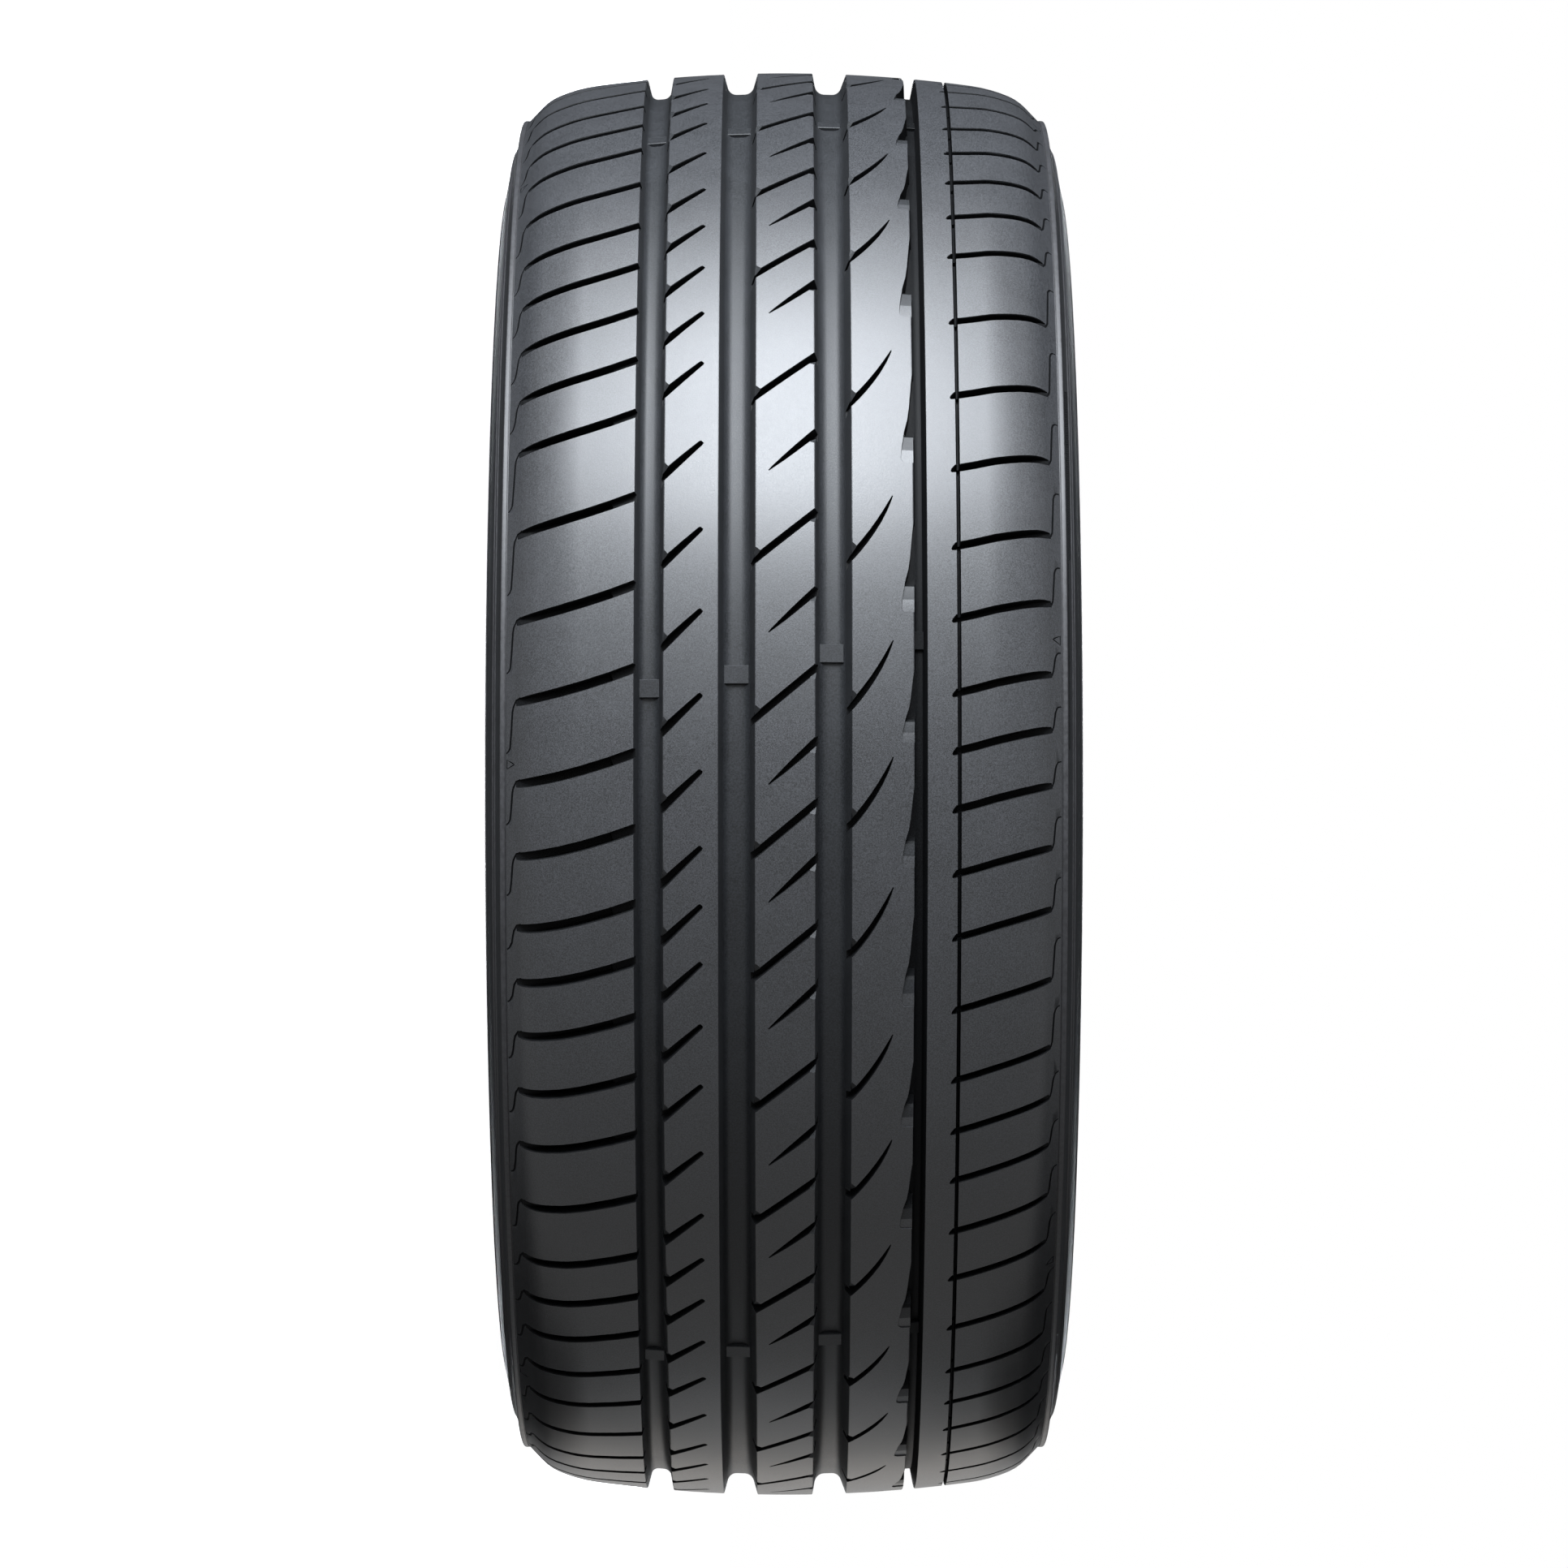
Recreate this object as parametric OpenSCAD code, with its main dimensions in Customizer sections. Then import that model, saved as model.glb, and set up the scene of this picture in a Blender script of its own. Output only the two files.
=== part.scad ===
// Car tyre: a low radial passenger tyre with an asymmetric tread, one moulded piece.
// It lies on one sidewall: the wheel axis is Z and the origin is the centre of the wheel.
// Looking at the tread with Z to the right, turning angles grow downwards.

/* [Size] */
// Diameter over the crown of the tread
outer_d = 653.2; // [646:0.1:662]
// Width over the two rim protectors
overall_w = 253; // [248:0.1:258]
// Diameter of the two bead seats, for an 18 inch rim
bead_seat_d = 462; // [456:0.1:466]
// Distance between the outer faces of the two beads, for an 8.5 inch rim
rim_w = 215.9; // [208:0.1:220]
// Width of the tread between the two shoulder rings
tread_w = 235.2; // [233:0.1:238]

/* [Crown] */
// Radius of the crown across the tread
crown_r = 640; // [500:10:900]
// Radius of the first shoulder curve
shoulder_r = 68; // [60:1:76]
// Radius of the tighter curve at the corner of the shoulder
corner_r = 22; // [18:1:26]
// Width of each shoulder, from where the tread starts to fall away to its edge
shoulder_w = 32.6; // [30.6:0.5:35.6]

/* [Ribs and grooves] */
// Offset of the centre rib from the centre plane
rib_offset = 0.45; // [0:0.05:1.5]
// Width of the centre rib
centre_rib_w = 25.1; // [22:0.1:27]
// Width of the rib on the left of the centre rib
left_rib_w = 23.1; // [20:0.1:25]
// Width of the rib on the right of the centre rib
right_rib_w = 25.9; // [23:0.1:27]
// Width of the plain rib beside the right shoulder
slim_rib_w = 12.5; // [10:0.1:14]
// Width of the two middle grooves
mid_groove_w = 15.1; // [12:0.1:17]
// Width of the left outer groove
left_groove_w = 12; // [10:0.1:13]
// Width of the right outer groove
right_groove_w = 5.4; // [4:0.1:7]
// Width of the hairline groove in the right shoulder
hair_groove_w = 1.6; // [1:0.1:2.4]
// Depth of the four main grooves
groove_depth = 9.4; // [7:0.1:10]
// Depth of the hairline groove
hair_depth = 3; // [1.5:0.1:4]
// Radius of the corners at the bottom of the grooves
groove_root_r = 2.2; // [1.2:0.1:2.6]

/* [Slots] */
// Width of the slots across the left shoulder
left_slot_w = 3.7; // [2.5:0.1:5]
// Width of the slots across the right shoulder
right_slot_w = 3; // [2:0.1:4]
// Depth of the slots across both shoulders
shoulder_slot_depth = 7; // [4:0.1:8]
// Width of the slots in the left rib, at the mouth
rib_slot_w = 3.3; // [2:0.1:4]
// Width of the slots that cross the centre rib
cross_slot_w = 2.7; // [1.8:0.1:3.6]
// Width of the pointed slots in the centre rib, at the mouth
point_slot_w = 3; // [2:0.1:4]
// Width of the curved slots in the right rib, at the mouth
sickle_w = 2.7; // [2:0.1:3.6]
// Depth of the slots in the three middle ribs
rib_slot_depth = 6.5; // [4:0.1:7.5]
// How far the scoops reach into the edge of the right rib
scoop_reach = 5.1; // [3:0.1:6]

/* [Wear bars] */
// Height of the wear bars above the groove floor
bar_h = 1.6; // [1:0.1:2]
// Length of a wear bar along the groove
bar_l = 8; // [6:0.1:12]

/* [Carcass] */
// Thickness from the crown to the inner liner
crown_t = 18.4; // [16:0.1:20]
// Thickness of the sidewall at its widest
sidewall_t = 9.5; // [7:0.1:11]
// Height above the bead seat at which the sidewall is widest
widest_h = 25; // [22:0.5:31]
// Width of the flat face of the rim protector
protector_w = 5; // [3:0.5:7]
// Width of the flat of the bead seat
bead_seat_w = 13; // [10:0.5:14]
// Radius of the bead heel
heel_r = 6.5; // [4:0.1:7.5]

/* [Hidden] */
$fn = 96;

crown_top = outer_d / 2;
seat_r = bead_seat_d / 2;
over = 3;

// Ribs and grooves add up outwards from the centre rib.
centre_l = rib_offset - centre_rib_w / 2;
centre_r = rib_offset + centre_rib_w / 2;
left_rib_r = centre_l - mid_groove_w;
left_rib_l = left_rib_r - left_rib_w;
left_shoulder_r = left_rib_l - left_groove_w;
right_rib_l = centre_r + mid_groove_w;
right_rib_r = right_rib_l + right_rib_w;
slim_rib_l = right_rib_r + right_groove_w;
slim_rib_r = slim_rib_l + slim_rib_w;
right_shoulder_l = slim_rib_r + hair_groove_w;
slot_end = tread_w / 2 - 6.6;

// Grooves as [left edge, right edge, left draft, right draft, depth, root radius].
grooves = [
    [left_shoulder_r, left_rib_l, 13, 9, groove_depth, groove_root_r],
    [left_rib_r, centre_l, 14, 14, groove_depth, groove_root_r],
    [centre_r, right_rib_l, 10, 18, groove_depth, groove_root_r],
    [right_rib_r, slim_rib_l, 2, 10, groove_depth, groove_root_r / 3],
    [slim_rib_r, right_shoulder_l, 0, 0, hair_depth, hair_groove_w / 4]
];

// Lengths of the five tread pitches against the middle one, and their order round the tread.
pitch_ratio = [0.77, 0.856, 1, 1.125, 1.253];
pitch_order = [2, 1, 1, 4, 3, 2, 0, 1, 2, 0, 1, 2, 1, 2, 3, 4, 2,
               1, 0, 2, 1, 0, 2, 3, 1, 2, 0, 4, 2, 2, 1, 0, 2, 1];
bar_pitches = [0, 5, 11, 16, 22, 28];
first_pitch = 200.2;
pitches = len(pitch_order);
function total(list, n) = n == 0 ? 0 : total(list, n - 1) + list[n - 1];
ratios = [for (p = pitch_order) pitch_ratio[p]];
unit_angle = 360 / total(ratios, pitches);
pitch_start = [for (k = [0:pitches - 1]) first_pitch + unit_angle * total(ratios, k)];
pitch_angle = unit_angle * ratios;

// Angles from the start of a pitch to the features of each rib.
left_shoulder_turn = 10.5;
left_rib_turn = 6.5;
cross_turn = -0.9;
point_turn = -1.1;
sickle_turn = -8.6;
scoop_turn = -5.96;
scoop_share = 0.57;
right_shoulder_turn = -4.5;
bar_turns = [5.9, 4.9, 3.3, 2.25];

// The crown: one wide arc, two shoulder arcs that run into each other, then a straight flank.
ring_z = tread_w / 2;
shoulder_at = ring_z - shoulder_w;
corner_at = shoulder_at + shoulder_r * (sin(23) - sin(asin(shoulder_at / crown_r)));
flank_at = corner_at + corner_r * (sin(46) - sin(23));
function arc_drop(r, from, to) = r * (cos(from) - cos(to));
edge_tilt = asin(shoulder_at / crown_r);
function crown_drop(z) =
    z < shoulder_at ? crown_r - sqrt(crown_r * crown_r - z * z)
    : z < corner_at ? arc_drop(crown_r, 0, edge_tilt)
        + arc_drop(shoulder_r, edge_tilt, asin(sin(edge_tilt) + (z - shoulder_at) / shoulder_r))
    : z < flank_at ? arc_drop(crown_r, 0, edge_tilt) + arc_drop(shoulder_r, edge_tilt, 23)
        + arc_drop(corner_r, 23, asin(sin(23) + (z - corner_at) / corner_r))
    : arc_drop(crown_r, 0, edge_tilt) + arc_drop(shoulder_r, edge_tilt, 23)
        + arc_drop(corner_r, 23, 46) + (z - flank_at) * tan(46);
function crown(z) = crown_top - crown_drop(abs(z));

function steps(from, to, n) = [for (i = [0:n]) from + (to - from) * i / n];

// The crown between two places, with a point wherever its curve changes, or else halfway.
curve_ends = concat(steps(shoulder_at, corner_at, 3), steps(corner_at, flank_at, 2));
bends = concat(-curve_ends, curve_ends);
function rib(from, to) =
    let (inner = sorted([for (z = bends) if (z > from + 1 && z < to - 1) z]))
    [for (z = concat([from], len(inner) > 0 ? inner : [(from + to) / 2], [to])) [crown(z), z]];
function sorted(list) = len(list) < 2 ? list
    : concat(
        sorted([for (z = list) if (z < list[0]) z]),
        [list[0]],
        sorted([for (z = list) if (z > list[0]) z])
    );

function arc(centre, r, from, to, n) = [for (a = steps(from, to, n)) centre + r * [cos(a), sin(a)]];
function bezier(a, b, c, d, n) =
    [for (u = steps(0, 1, n)) pow(1 - u, 3) * a + 3 * pow(1 - u, 2) * u * b
        + 3 * (1 - u) * u * u * c + pow(u, 3) * d];
function mirrored(points) = [for (i = [len(points) - 1:-1:0]) [points[i][0], -points[i][1]]];

// One groove, walked from its left edge to its right edge.
function groove(g) =
    let (
        floor_r = crown((g[0] + g[1]) / 2) - g[4],
        left_foot = g[0] + (crown(g[0]) - floor_r) * tan(g[2]),
        right_foot = g[1] - (crown(g[1]) - floor_r) * tan(g[3]),
        rr = g[5],
        left_in = rr * tan(45 - g[2] / 2),
        right_in = rr * tan(45 - g[3] / 2)
    )
    concat(
        arc([floor_r + rr, left_foot + left_in], rr, 270 - g[2], 180, 3),
        arc([floor_r + rr, right_foot - right_in], rr, 180, 90 + g[3], 3)
    );

// The shoulder and sidewall on the positive side, from the tread to the bead toe.
widest_z = overall_w / 2;
widest_r = seat_r + widest_h;
protector_r = widest_r - protector_w;
bead_z = rim_w / 2;
side_arc_r = (pow(widest_z - ring_z, 2) + pow(crown(ring_z) - widest_r, 2))
    / (2 * (widest_z - ring_z));
side_arc_angle = asin((crown(ring_z) - 1 - widest_r) / side_arc_r);
side = concat(
    arc([widest_r, widest_z - side_arc_r], side_arc_r, 90 - side_arc_angle, 90, 8),
    [[protector_r, widest_z - 0.3], [protector_r - 2.5, widest_z - 2.5]],
    bezier([protector_r - 4, widest_z - 7], [protector_r - 7, bead_z + 5],
        [seat_r + 12, bead_z], [seat_r + heel_r + 1, bead_z], 5),
    arc([seat_r + heel_r, bead_z - heel_r], heel_r, 90, 180, 4),
    [[seat_r, bead_z - heel_r - bead_seat_w], [seat_r + 1, bead_z - heel_r - bead_seat_w - 1.5]]
);

// The inner liner on the positive side, from the bead toe to the centre plane.
liner_z = widest_z - sidewall_t;
liner_r = crown_top - crown_t;
toe = [seat_r + 4, bead_z - heel_r - bead_seat_w - 1.8];
liner = concat(
    bezier(toe, toe + [10, 2], [widest_r - 14, liner_z], [widest_r + 16, liner_z], 7),
    bezier([widest_r + 16, liner_z], [liner_r - 8, liner_z], [liner_r, liner_z - 25],
        [liner_r, 0], 10)
);

tread = concat(
    rib(-ring_z, grooves[0][0]),
    groove(grooves[0]),
    rib(grooves[0][1], grooves[1][0]),
    groove(grooves[1]),
    rib(grooves[1][1], grooves[2][0]),
    groove(grooves[2]),
    rib(grooves[2][1], grooves[3][0]),
    groove(grooves[3]),
    rib(grooves[3][1], grooves[4][0]),
    groove(grooves[4]),
    rib(grooves[4][1], ring_z)
);

function without_first(points) = [for (i = [1:len(points) - 1]) points[i]];
function without_last(points) = [for (i = [0:len(points) - 2]) points[i]];
section = concat(
    mirrored(side),
    tread,
    side,
    liner,
    without_first(mirrored(without_last(liner)))
);

// Places a flat outline drawn as [along the tread, across the tread] on the tread.
module on_tread(turn, r) {
    rotate([0, 0, turn]) translate([r, 0, 0]) rotate([90, 0, 90]) children();
}

// A straight slot between two points, with its own width at each end and a blunt or sharp tip.
function tapered(a, b, wa, wb) =
    let (d = (b - a) / norm(b - a), n = [-d[1], d[0]])
    [a + n * wa / 2, b + n * wb / 2, b + d * wb * 0.3 + n * wb / 4,
        b + d * wb * 0.3 - n * wb / 4, b - n * wb / 2, a - n * wa / 2];

// A point on the bend that leaves a towards b and arrives at c, and its heading there.
function bend(a, b, c, u) = (1 - u) * (1 - u) * a + 2 * (1 - u) * u * b + u * u * c;
function bend_side(a, b, c, u) =
    let (d = (1 - u) * (b - a) + u * (c - b)) [-d[1], d[0]] / norm(d);

// A slot of even width along the stretch of a bend from u0 to u1.
function bent_slot(a, b, c, w, u0, u1, n) = concat(
    [for (u = steps(u0, u1, n)) bend(a, b, c, u) + bend_side(a, b, c, u) * w / 2],
    [for (u = steps(u1, u0, n)) bend(a, b, c, u) - bend_side(a, b, c, u) * w / 2]
);

// Cuts a shoulder slot whose floor slopes down with the shoulder and runs out at the slot's
// outer end.
module sloped(turn, at, depth, side) {
    slope = atan((crown(at) - depth - crown(slot_end)) / (slot_end - abs(at)));
    on_tread(turn, crown(at) - depth) translate([0, at, 0]) rotate([-side * slope, 0, 0])
        translate([0, -at, 0]) linear_extrude(depth + 12) children();
}

// Slots across the left shoulder, open to the left outer groove over a shallow tie bar.
module left_shoulder_slot(turn) {
    from = [1.1, left_shoulder_r + over];
    to = [14.8, -slot_end];
    via = [10.5, (from[1] + to[1]) / 2];
    tie = 0.22;
    tie_depth = shoulder_slot_depth / 2;
    sloped(turn, bend(from, via, to, tie)[1], shoulder_slot_depth, -1)
        polygon(bent_slot(from, via, to, left_slot_w, tie, 1, 3));
    sunk(turn, left_shoulder_r, tie_depth)
        polygon(bent_slot(from, via, to, left_slot_w, 0, tie + 0.06, 1));
}

// Slots across the right shoulder, which start at a slanted tip left of the hairline groove.
module right_shoulder_slot(turn) {
    tip = slim_rib_r - 2.2;
    from = [-1.4, tip + 1.6];
    to = [-11.2, slot_end];
    via = [-7.1, (from[1] + to[1]) / 2];
    sloped(turn, tip, shoulder_slot_depth, 1)
        polygon(concat([[0.4, tip]], bent_slot(from, via, to, right_slot_w, 0, 1, 3)));
}

// Cuts a flat outline into the tread, down from the crown at the given place.
module sunk(turn, at, depth) {
    on_tread(turn, crown(at) - depth) linear_extrude(depth + 5) children();
}

// Short blunt slots in the left rib, open to the left outer groove.
module left_rib_slot(turn) {
    tip = [1, left_rib_l + 15.6];
    mouth = [15.5, left_rib_l];
    out = (mouth - tip) / norm(mouth - tip);
    sunk(turn, left_rib_l, rib_slot_depth)
        polygon(tapered(mouth + out * over * 1.5, tip, rib_slot_w + 0.3, rib_slot_w * 0.5));
}

// Straight slots right across the centre rib.
module cross_slot(turn) {
    from = [0, centre_r];
    to = [20.9, centre_l];
    out = (to - from) / norm(to - from);
    sunk(turn, 0, rib_slot_depth)
        polygon(tapered(from - out * over * 1.5, to + out * over, cross_slot_w, cross_slot_w));
}

// Pointed slots in the centre rib, open to the right middle groove.
module point_slot(turn) {
    mouth = [0, centre_r];
    tip = mouth + [17.7, -19.4];
    d = (tip - mouth) / norm(tip - mouth);
    n = [-d[1], d[0]] * point_slot_w / 2;
    sunk(turn, 0, rib_slot_depth)
        polygon([mouth - d * over * 1.5 + n, mouth + d * 12 + n * 0.8, tip,
            mouth + d * 12 - n * 0.8, mouth - d * over * 1.5 - n]);
}

// Curved slots in the right rib: two bends that meet in a sharp point.
module sickle_slot(turn) {
    tip = [0, right_rib_l + 17];
    upper = tip + [25.1, -17];
    lower = tip + [25.1 + sickle_w * 1.6, -16.5];
    upper_via = tip + [13, -6.9];
    lower_via = tip + [15.1, -4.5];
    sunk(turn, right_rib_l, rib_slot_depth) polygon(concat(
        [for (u = steps(0, 0.75, 3)) bend(tip, upper_via, upper, u)],
        [upper + 0.3 * (upper - upper_via), lower + 0.3 * (lower - lower_via)],
        [for (u = steps(0.75, 0.25, 2)) bend(tip, lower_via, lower, u)]
    ));
}

// Scoops in the right edge of the right rib: each widens along the tread and its floor rises
// until it runs out.
module scoop(turn, length) {
    edge = right_rib_r;
    back = -length;
    far = back * 1.14;
    ramp = asin((groove_depth - 1) / -far);
    on_tread(turn, crown(edge) - 0.5) rotate([0, -ramp, 0]) linear_extrude(20) polygon([
        [far, edge + 1.5],
        [far, edge + 1],
        [back * 0.5, edge - scoop_reach * 0.4],
        [back * 0.1, edge - scoop_reach],
        [0, edge - scoop_reach * 0.9],
        [0, edge + 1.5]
    ]);
}

// Wear bars stand on the floors of the four main grooves.
module wear_bar(turn, g) {
    floor_r = crown((g[0] + g[1]) / 2) - g[4];
    sweep = bar_l / crown_top * 180 / PI;
    rotate([0, 0, turn - sweep / 2]) rotate_extrude(angle = sweep)
        translate([floor_r - 2, g[0]]) square([bar_h + 2, g[1] - g[0]]);
}

module tyre() {
    color([0.13, 0.13, 0.135]) difference() {
        union() {
            rotate_extrude() polygon(section);
            for (k = bar_pitches, i = [0:3]) wear_bar(pitch_start[k] + bar_turns[i], grooves[i]);
        }
        for (k = [0:pitches - 1]) {
            start = pitch_start[k];
            half = pitch_angle[k] / 2;
            for (turn = [start, start + half]) {
                left_shoulder_slot(turn + left_shoulder_turn);
                left_rib_slot(turn + left_rib_turn);
                right_shoulder_slot(turn + right_shoulder_turn);
            }
            cross_slot(start + half + cross_turn);
            point_slot(start + point_turn);
            sickle_slot(start + sickle_turn);
            scoop(start + scoop_turn + 2 * half * scoop_share, 42 * ratios[k]);
        }
    }
}

tyre();
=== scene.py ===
"""Scene of the car tyre: one moulded rubber tyre, seen square on to its tread.

The tread is modelled laid out flat, as the maker of the mould draws it: X runs along the tread,
Y across it, and Z is the height over the crown. It is then wrapped round the wheel axis, so that
every slot keeps its true outline on the rounded shoulders. Sizes are in millimetres until a mesh
is made, and the meshes are in metres.
"""

from __future__ import annotations

import logging
import math
import sys
from dataclasses import dataclass, field
from enum import Enum
from typing import Iterable, NamedTuple, Sequence

import bmesh
import bpy
from mathutils import Matrix, Vector

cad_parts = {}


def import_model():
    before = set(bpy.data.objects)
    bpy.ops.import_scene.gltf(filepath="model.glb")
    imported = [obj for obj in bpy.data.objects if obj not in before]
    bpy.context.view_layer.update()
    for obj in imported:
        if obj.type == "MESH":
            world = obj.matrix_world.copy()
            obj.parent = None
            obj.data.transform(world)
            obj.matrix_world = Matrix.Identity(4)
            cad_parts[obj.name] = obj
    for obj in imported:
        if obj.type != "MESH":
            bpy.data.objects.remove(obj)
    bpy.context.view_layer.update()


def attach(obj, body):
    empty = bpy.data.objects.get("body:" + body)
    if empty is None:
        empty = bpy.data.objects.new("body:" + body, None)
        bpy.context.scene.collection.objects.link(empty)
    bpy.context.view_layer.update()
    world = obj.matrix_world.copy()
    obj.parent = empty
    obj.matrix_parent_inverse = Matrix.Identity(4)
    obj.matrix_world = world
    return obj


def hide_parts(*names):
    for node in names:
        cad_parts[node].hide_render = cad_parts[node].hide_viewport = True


LOG = logging.getLogger("tyre")
MM = 0.001
WARM = (1.0, 0.9, 0.78)
SHARP_ANGLE = math.radians(26)
END_GAP = 4e-6
JOIN_GAP = 8e-6
ON_CROWN_GAP = 2e-6


class FinishOrShade(Enum):
    """Each finish that the mould gives the rubber, and the painted shade of grooves and slots, in the
    order of the material slots.
    """

    TREAD = 0
    # Painted shade: a darker colour in the grooves, scoops and mouth chips, and on the wear bars.
    GROOVE_PAINTED_SHADE = 1
    SIDEWALL = 2
    LINER = 3
    # Painted shade: a near-black colour in the slots, the narrow grooves and the fine lines.
    SLOT_PAINTED_SHADE = 4


class Pitch(NamedTuple):
    """One repeat of the tread pattern.

    Args:
        start: Turn at which the pitch starts, in degrees.
        angle: Turn that the pitch takes, in degrees.
        ratio: Its length against the middle pitch.
        bars: Whether the wear bars stand in this pitch.
    """

    start: float
    angle: float
    ratio: float
    bars: bool


class Station(NamedTuple):
    """One cut through a slot: where its middle is, and its width and depth there."""

    along: float
    across: float
    width: float
    depth: float


@dataclass(frozen=True)
class Crown:
    """Outline of the tread from side to side: one wide arc, two shoulder arcs, then a flank."""

    top: float = 326.6
    wide_r: float = 640.0
    shoulder_r: float = 68.0
    corner_r: float = 22.0
    shoulder_at: float = 85.0
    shoulder_tilt: float = 23.0
    flank_tilt: float = 46.0

    def arcs(self) -> list[tuple[float, float, float, float]]:
        """Lists the arcs that the outline is made of.

        Returns:
            Each arc as where it starts, its radius, and its tilt at both ends in radians.
        """
        edge = math.asin(self.shoulder_at / self.wide_r)
        first, second = math.radians(self.shoulder_tilt), math.radians(self.flank_tilt)
        corner_at = self.shoulder_at + self.shoulder_r * (math.sin(first) - math.sin(edge))
        return [
            (0.0, self.wide_r, 0.0, edge),
            (self.shoulder_at, self.shoulder_r, edge, first),
            (corner_at, self.corner_r, first, second),
        ]

    def walk(self, across: float) -> tuple[float, float]:
        """Walks from the centre to a place on the outline.

        Args:
            across: Distance across the tread from the centre plane.

        Returns:
            The drop below the crown's top, and the tilt there in radians.
        """
        across, drop = abs(across), 0.0
        for start, radius, tilt_in, tilt_out in self.arcs():
            end = start + radius * (math.sin(tilt_out) - math.sin(tilt_in))
            reach = min(across, end)
            tilt = math.asin(math.sin(tilt_in) + (reach - start) / radius)
            drop += radius * (math.cos(tilt_in) - math.cos(tilt))
            if across <= end:
                return drop, tilt
        return drop + (across - end) * math.tan(tilt_out), tilt_out

    def radius(self, across: float) -> float:
        """Gives the radius of the tread at a distance across it."""
        return self.top - self.walk(across)[0]

    def tilt(self, across: float) -> float:
        """Gives the signed tilt of the tread at a distance across it, in radians."""
        return math.copysign(self.walk(across)[1], across)


@dataclass(frozen=True)
class PitchRing:
    """The order of the pitches round the tyre, mixed so that the tread doesn't hum."""

    ratios: tuple[float, ...] = (0.77, 0.856, 1.0, 1.125, 1.253)
    order: tuple[int, ...] = (
        2, 1, 1, 4, 3, 2, 0, 1, 2, 0, 1, 2, 1, 2, 3, 4, 2,
        1, 0, 2, 1, 0, 2, 3, 1, 2, 0, 4, 2, 2, 1, 0, 2, 1,
    )
    bars: tuple[int, ...] = (0, 5, 11, 16, 22, 28)
    first: float = 200.2

    def pitches(self) -> list[Pitch]:
        """Lays the pitches round the tyre.

        Returns:
            The pitches, in order of their turn.
        """
        unit = 360.0 / sum(self.ratios[size] for size in self.order)
        start, found = self.first, []
        for number, size in enumerate(self.order):
            ratio = self.ratios[size]
            found.append(Pitch(start, unit * ratio, ratio, number in self.bars))
            start += unit * ratio
        return found

    def slot_gap(self, pitches: Sequence[Pitch], number: int) -> float:
        """Gives the length of half a pitch along the crown, in millimetres."""
        return math.radians(pitches[number % len(pitches)].angle / 2) * Crown.top


@dataclass(frozen=True)
class Groove:
    """A groove that runs right round the tyre."""

    left: float
    right: float
    left_draft: float
    right_draft: float
    depth: float = 9.4
    root: float = 2.2
    edge: float = 0.5
    corner_steps: int = 5

    def outline(self) -> list[tuple[float, float]]:
        """Walks the groove from its left edge to its right edge.

        Returns:
            Points as distance across the tread and height over the crown.
        """
        points = self._edge(self.left, -1)
        points += self._corner(self.left, self.left_draft, 1)
        points += self._corner(self.right, self.right_draft, -1)[::-1]
        return points + self._edge(self.right, 1)[::-1]

    def _edge(self, at: float, out: int) -> list[tuple[float, float]]:
        """Rounds the edge of the rib, from its top down into the groove."""
        e = self.edge
        return [(at + out * e, 0.0), (at + out * 0.27 * e, -0.27 * e), (at, -e)]

    def _corner(self, at: float, draft: float, into: int) -> list[tuple[float, float]]:
        """Rounds the corner between a wall and the floor, from the wall to the floor."""
        slope = math.radians(draft)
        foot = at + into * self.depth * math.tan(slope)
        middle = foot + into * self.root * math.tan(math.pi / 4 - slope / 2)
        points = []
        for step in range(self.corner_steps + 1):
            turn = slope + (math.pi / 2 - slope) * step / self.corner_steps
            points.append((
                middle - into * self.root * math.cos(turn),
                -self.depth + self.root - self.root * math.sin(turn),
            ))
        return points


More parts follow.
